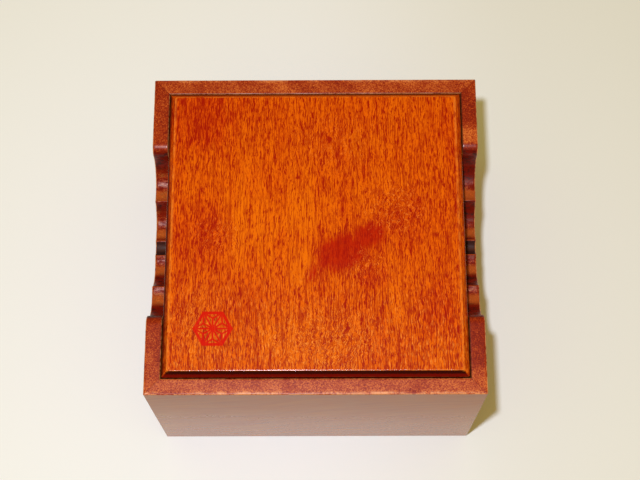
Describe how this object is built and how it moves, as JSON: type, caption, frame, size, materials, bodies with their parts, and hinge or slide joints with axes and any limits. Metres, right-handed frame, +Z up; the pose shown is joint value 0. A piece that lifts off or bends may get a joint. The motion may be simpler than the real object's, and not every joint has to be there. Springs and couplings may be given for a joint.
{
  "type": "shogi piece box",
  "caption": "Square mitred wooden box with a bevelled drop-in lid and scalloped finger notches in two facing walls.",
  "frame": {"origin": "centre of the footprint, on the surface that the box stands on", "axes": "+Z up, +Y towards the rear wall, +X towards the right wall; the finger notches are in the left and right walls"},
  "size_m": [0.12, 0.12, 0.0802],
  "materials": {
    "wall_wood": "red-brown stained hardwood under gloss varnish",
    "floor_wood": "red-brown stained board, satin varnish",
    "liner_wood": "red-brown stained board, satin varnish",
    "lid_wood": "orange-red stained hardwood with dark pores under gloss varnish"
  },
  "bodies": {
    "case": {"front_wall": "wall_wood", "rear_wall": "wall_wood", "left_wall": "wall_wood", "right_wall": "wall_wood", "floor_panel": "floor_wood", "liner_front": "liner_wood", "liner_rear": "liner_wood", "liner_left": "liner_wood", "liner_right": "liner_wood"},
    "lid": {"lid": "lid_wood"}
  },
  "joints": [
    {"name": "lid_lift", "type": "slide", "parent": "case", "child": "lid", "axis": [0, 0, 1], "range_m": [0, 0.06]}
  ]
}
